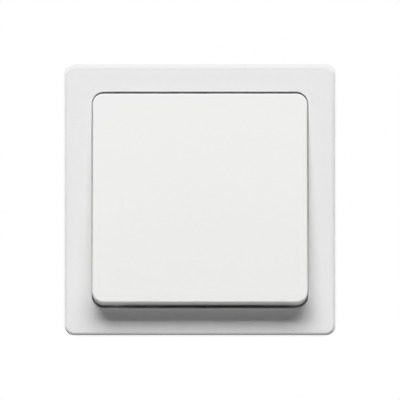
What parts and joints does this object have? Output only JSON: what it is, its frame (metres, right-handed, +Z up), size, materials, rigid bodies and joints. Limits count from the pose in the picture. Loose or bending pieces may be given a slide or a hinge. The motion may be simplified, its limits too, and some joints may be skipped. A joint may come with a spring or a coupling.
{
  "type": "rocker wall switch",
  "caption": "Square flush wall switch: a cover frame around one large rocker, on a steel-ringed screwless two-way switch insert for a round wall box.",
  "frame": {"origin": "centre of the switch on the wall surface, which is the rear plane of the cover frame and of the support ring", "axes": "+X to the viewer's right, +Y into the wall, +Z up; the front faces -Y"},
  "size_m": [0.0804, 0.0384, 0.0804],
  "materials": {
    "white_plastic": "satin gloss, moulded",
    "grey_plastic": "moulded thermoplastic",
    "pale_plastic": "moulded thermoplastic, low friction",
    "lever_plastic": "moulded thermoplastic",
    "zinc_steel": "bright zinc plate",
    "spring_steel": "stainless spring strip and wire",
    "copper_strip": "stamped copper alloy",
    "silver_tip": "silver contact button"
  },
  "bodies": {
    "insert": {"cover_frame": "white_plastic", "support_ring": "zinc_steel", "housing_base": "grey_plastic", "housing_cover": "grey_plastic", "housing_rivets": "zinc_steel", "common_bar": "copper_strip", "contact_bar_1": "copper_strip", "contact_bar_2": "copper_strip", "fixed_contact_tips": "silver_tip", "clamp_springs_1": "spring_steel", "clamp_springs_2": "spring_steel", "clamp_springs_common": "spring_steel", "claw_return_spring_left": "spring_steel", "claw_return_spring_right": "spring_steel"},
    "rocker": {"rocker": "white_plastic", "actuator_cradle": "pale_plastic", "snap_spring": "spring_steel"},
    "plunger": {"plunger": "pale_plastic"},
    "seesaw": {"contact_seesaw": "copper_strip", "moving_contact_tips": "silver_tip"},
    "release_lever_1": {"release_lever_1": "lever_plastic"},
    "release_lever_2": {"release_lever_2": "lever_plastic"},
    "release_lever_common": {"release_lever_common": "lever_plastic"},
    "claw_screw_left": {"claw_screw_left": "zinc_steel"},
    "claw_left": {"claw_left": "zinc_steel"},
    "claw_nut_left": {"claw_nut_left": "zinc_steel"},
    "claw_screw_right": {"claw_screw_right": "zinc_steel"},
    "claw_right": {"claw_right": "zinc_steel"},
    "claw_nut_right": {"claw_nut_right": "zinc_steel"}
  },
  "joints": [
    {"name": "rocker_tilt", "type": "hinge", "parent": "insert", "child": "rocker", "pos_m": [0, -0.0036, 0], "axis": [1, 0, 0], "range_deg": [0, 8.2]},
    {"name": "plunger_slide", "type": "slide", "parent": "rocker", "child": "plunger", "axis": [0, -0.9974, 0.0715], "range_m": [0, 0.0012], "deforming": ["snap_spring"]},
    {"name": "seesaw_tilt", "type": "hinge", "parent": "insert", "child": "seesaw", "pos_m": [0, 0.0096, 0], "axis": [1, 0, 0], "range_deg": [-18.8, 0]},
    {"name": "lever_press_1", "type": "slide", "parent": "insert", "child": "release_lever_1", "axis": [0, -1, 0], "range_m": [0, 0.002], "deforming": ["clamp_springs_1"]},
    {"name": "lever_press_2", "type": "slide", "parent": "insert", "child": "release_lever_2", "axis": [0, -1, 0], "range_m": [0, 0.002], "deforming": ["clamp_springs_2"]},
    {"name": "lever_press_common", "type": "slide", "parent": "insert", "child": "release_lever_common", "axis": [0, -1, 0], "range_m": [0, 0.002], "deforming": ["clamp_springs_common"]},
    {"name": "claw_screw_turn_left", "type": "hinge", "parent": "insert", "child": "claw_screw_left", "pos_m": [-0.0236, 0, 0], "axis": [0, 1, 0], "range_deg": [0, 1106]},
    {"name": "claw_swing_left", "type": "hinge", "parent": "insert", "child": "claw_left", "pos_m": [-0.0196, 0.0056, 0], "axis": [0, 0, 1], "range_deg": [0, 22], "deforming": ["claw_return_spring_left"]},
    {"name": "claw_nut_slide_left", "type": "slide", "parent": "insert", "child": "claw_nut_left", "axis": [0, -1, 0], "range_m": [0, 0.00154]},
    {"name": "claw_screw_turn_right", "type": "hinge", "parent": "insert", "child": "claw_screw_right", "pos_m": [0.0236, 0, 0], "axis": [0, 1, 0], "range_deg": [0, 1106]},
    {"name": "claw_swing_right", "type": "hinge", "parent": "insert", "child": "claw_right", "pos_m": [0.0196, 0.0056, 0], "axis": [0, 0, -1], "range_deg": [0, 22], "deforming": ["claw_return_spring_right"]},
    {"name": "claw_nut_slide_right", "type": "slide", "parent": "insert", "child": "claw_nut_right", "axis": [0, -1, 0], "range_m": [0, 0.00154]}
  ],
  "couplings": [
    {"joint": "seesaw_tilt", "follows": "rocker_tilt", "ratio": -2.2927},
    {"joint": "claw_screw_turn_left", "follows": "claw_swing_left", "ratio": 50.27},
    {"joint": "claw_nut_slide_left", "follows": "claw_swing_left", "m_per_rad": 0.004},
    {"joint": "claw_screw_turn_right", "follows": "claw_swing_right", "ratio": 50.27},
    {"joint": "claw_nut_slide_right", "follows": "claw_swing_right", "m_per_rad": 0.004}
  ]
}
